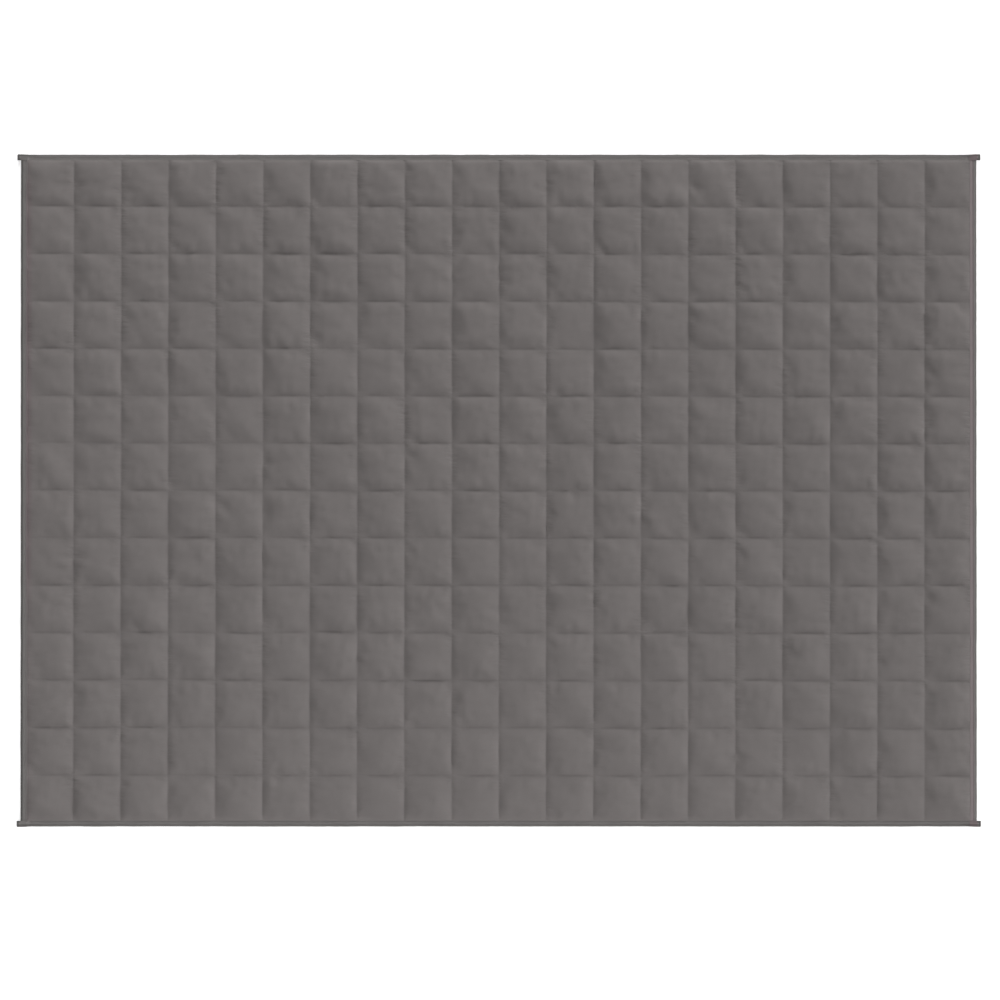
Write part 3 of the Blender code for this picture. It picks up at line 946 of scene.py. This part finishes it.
CLOTH_SHADER = {"Roughness": 0.88, "Specular IOR Level": 0.25, "Sheen Weight": 0.05, "Sheen Roughness": 0.5}
WEAVE_TONE = 0.06
DYE_SIZE, DYE_RANGE, MOTTLE = 0.05, (0.25, 0.75), 0.03
FOLD_STRENGTH_SIZE, FOLD_STRENGTH_RANGE, FOLD_STRENGTHS = 0.09, (0.35, 0.70), (0.25, 1.5)
# Small folds across the seams: (axis away from the seam, noise rates, reach in centimetres, share)
SMALL_FOLDS = ((0, (32, 95, 0), 2.6, 1.0), (1, (60, 75, 3), 1.3, 0.6))


def shaded_material(name, inputs):
    """A material whose shader has these values."""
    material = bpy.data.materials.new(name)
    material.use_nodes = True
    for socket, value in inputs.items():
        material.node_tree.nodes["Principled BSDF"].inputs[socket].default_value = value
    return material


def cloth_material(name, color, thread_spacing, weave_relief, puckers=0.0):
    """Close plain weave: over and under threads as fine relief, uneven dye, and the tone of each point. With
    puckers, also small folds across the seams, of that height."""
    material = shaded_material(name, CLOTH_SHADER)
    nodes, links = material.node_tree.nodes, material.node_tree.links
    shader = nodes["Principled BSDF"]

    def put(value, socket):
        """Links an output, or sets a plain value."""
        if isinstance(value, bpy.types.NodeSocket):
            links.new(value, socket)
        else:
            socket.default_value = value

    def calculate(operation, *values, kind="ShaderNodeMath"):
        made = nodes.new(kind)
        made.operation = operation
        for value, socket in zip(values, made.inputs):
            put(value, socket)
        return made.outputs[0]

    def ramp(value, low, high, from_value, to_value):
        made = nodes.new("ShaderNodeMapRange")
        made.interpolation_type = "SMOOTHSTEP"
        for given, socket in zip((value, low, high, from_value, to_value), made.inputs):
            put(given, socket)
        return made.outputs[0]

    def noise(vector, scale, detail):
        made = nodes.new("ShaderNodeTexNoise")
        put(vector, made.inputs["Vector"])
        put(scale, made.inputs["Scale"])
        put(detail, made.inputs["Detail"])
        return made.outputs["Fac"]

    def attribute(name):
        made = nodes.new("ShaderNodeAttribute")
        made.attribute_name = name
        return made.outputs["Color"]

    def relief(height, distance, normal=None):
        made = nodes.new("ShaderNodeBump")
        put(height, made.inputs["Height"])
        put(distance, made.inputs["Distance"])
        if normal:
            put(normal, made.inputs["Normal"])
        return made.outputs["Normal"]

    place = nodes.new("ShaderNodeTexCoord").outputs["Object"]
    split = nodes.new("ShaderNodeSeparateXYZ")
    put(place, split.inputs[0])
    rate = math.pi / thread_spacing
    waves = [calculate("SINE", calculate("MULTIPLY", axis, rate)) for axis in split.outputs[:2]]
    weave = calculate("MULTIPLY", *waves)
    dye = ramp(noise(place, 1 / DYE_SIZE, 5.0), *DYE_RANGE, 1 - MOTTLE, 1 + MOTTLE)
    weave_tone = calculate("MULTIPLY_ADD", weave, WEAVE_TONE, 1.0)
    tone = calculate("MULTIPLY", dye, weave_tone)
    painted = calculate("MULTIPLY", attribute("tone"), color, kind="ShaderNodeVectorMath")
    toned = nodes.new("ShaderNodeVectorMath")
    toned.operation = "SCALE"
    put(painted, toned.inputs[0])
    put(tone, toned.inputs["Scale"])
    put(toned.outputs[0], shader.inputs["Base Color"])

    normal = relief(weave, weave_relief)
    if puckers:
        from_seams = nodes.new("ShaderNodeSeparateXYZ")
        put(attribute("from_seams"), from_seams.inputs[0])
        strength = ramp(noise(place, 1 / FOLD_STRENGTH_SIZE, 2.0), *FOLD_STRENGTH_RANGE, *FOLD_STRENGTHS)
        for axis, stretch, reach, share in SMALL_FOLDS:
            stretched = calculate("MULTIPLY", place, stretch, kind="ShaderNodeVectorMath")
            near = ramp(from_seams.outputs[axis], 0.0, reach, share, 0.0)
            height = calculate("MULTIPLY", calculate("MULTIPLY", noise(stretched, 1.0, 2.0), near), strength)
            normal = relief(height, puckers, normal)
    put(normal, shader.inputs["Normal"])
    return material


# ---------------------------------------- the studio

PIXEL = 2.0921 * MM  # of the photograph, on the blanket
FRAME_PIXELS = 1000
LENS = 150.0
SENSOR = 36.0
VIEW_CENTRE = Vector((0.00272, -0.01977, 0.0025))
CLIP_END = 100
WHITE = (1, 1, 1, 1)
FLOOR_HALF, FLOOR_Z = 20.0, -0.1 * MM
PALE_SHADER = {
    "Base Color": (0.85, 0.85, 0.85, 1),
    "Roughness": 1.0,
    "Specular IOR Level": 0.0,
    "Emission Color": WHITE,
    "Emission Strength": 0.55,
}
WORLD_STRENGTH = 0.10
SUNS = (  # (name, from, strength)
    ("sun_right", (1.0, 0.1, 0.40), 2.55),
    ("sun_top", (0.1, 1.0, 0.35), 1.40),
)
SUN_SOFTNESS = math.radians(30)
PANELS = (  # (name, place, watts)
    ("panel_right", (4.5, 0.0, 1.2), 65.0),
    ("panel_top", (0.0, 4.0, 1.2), 76.0),
    ("panel_bottom", (0.0, -3.0, 0.8), 56.0),
    ("panel_left", (-4.5, 0.0, 1.54), 69.0),
)
PANEL_SIZE = (2.0, 0.8)


def pale_floor():
    bpy.ops.mesh.primitive_plane_add(size=2 * FLOOR_HALF, location=(0, 0, FLOOR_Z))
    floor = bpy.context.object
    floor.name = "floor"
    floor.data.materials.append(shaded_material("pale_floor", PALE_SHADER))


def aim(lamp, direction):
    """Turns a lamp so that it shines from that direction."""
    lamp.rotation_euler = Vector(direction).to_track_quat("Z", "Y").to_euler()


def add_lamp(name, kind):
    """A lamp that the camera doesn't see."""
    lamp = bpy.data.objects.new(name, bpy.data.lights.new(name, kind))
    bpy.context.scene.collection.objects.link(lamp)
    lamp.visible_camera = False
    return lamp


def lights():
    """Two soft suns, four panels and a dim even room."""
    for name, direction, strength in SUNS:
        lamp = add_lamp(name, "SUN")
        aim(lamp, direction)
        lamp.data.energy = strength
        lamp.data.angle = SUN_SOFTNESS
    for name, place, watts in PANELS:
        lamp = add_lamp(name, "AREA")
        lamp.location = place
        aim(lamp, place)
        lamp.data.shape = "RECTANGLE"
        lamp.data.size, lamp.data.size_y = PANEL_SIZE
        lamp.data.energy = watts
    world = bpy.data.worlds.new("room")
    world.use_nodes = True
    background = world.node_tree.nodes["Background"]
    background.inputs["Color"].default_value = WHITE
    background.inputs["Strength"].default_value = WORLD_STRENGTH
    bpy.context.scene.world = world


def camera_above():
    camera = bpy.data.objects.new("camera", bpy.data.cameras.new("camera"))
    bpy.context.scene.collection.objects.link(camera)
    camera.data.lens = LENS
    camera.data.sensor_width = SENSOR
    camera.data.clip_end = CLIP_END
    camera.location = VIEW_CENTRE + Vector((0, 0, PIXEL * FRAME_PIXELS * LENS / SENSOR))
    bpy.context.scene.camera = camera
    bpy.context.scene.view_settings.view_transform = "Standard"


# ---------------------------------------- build

COVER_COLOR = (0.1460, 0.1337, 0.1309)
TAPE_COLOR = (0.138, 0.1315, 0.128)
THREAD_COLOR = (0.150, 0.139, 0.137)

cover_cloth = cloth_material(
    "cover_cloth", COVER_COLOR, thread_spacing=0.45 * MM, weave_relief=0.015 * MM, puckers=1.5 * MM
)
tape_cloth = cloth_material("woven_tape", TAPE_COLOR, thread_spacing=0.6 * MM, weave_relief=0.03 * MM)
thread = cloth_material("thread", THREAD_COLOR, thread_spacing=0.2 * MM, weave_relief=0.01 * MM)

top_points = cover_top(puckered_pillows())
back_points = cover_back()
cover = quilted_cover(top_points, back_points, cover_cloth)
from_seams = np.concatenate([
    seam_distances(top_points.shape[:2], SHARES, len(TOP_MARGIN)),
    seam_distances(back_points.shape[:2], BACK_LINES, len(BACK_MARGIN)),
])
keep_for_points(cover, "from_seams", from_seams * 100)  # in centimetres
all_points = np.concatenate([top_points.reshape(-1, 3), back_points.reshape(-1, 3)])
paint(cover, cover_tone(all_points, from_seams))
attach(cover, "root")
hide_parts("quilted_body")

for tape in TAPES:
    folded_tape(tape, tape_cloth)

quilting_stitches(top_points, SHARES, "top", thread)
quilting_stitches(back_points, BACK_LINES, "back", thread)
tape_stitches(thread)
for obj in bpy.data.objects:
    if obj.name.startswith("stitches_"):
        paint(obj, np.ones((len(obj.data.vertices), 3)))

pale_floor()
lights()
camera_above()
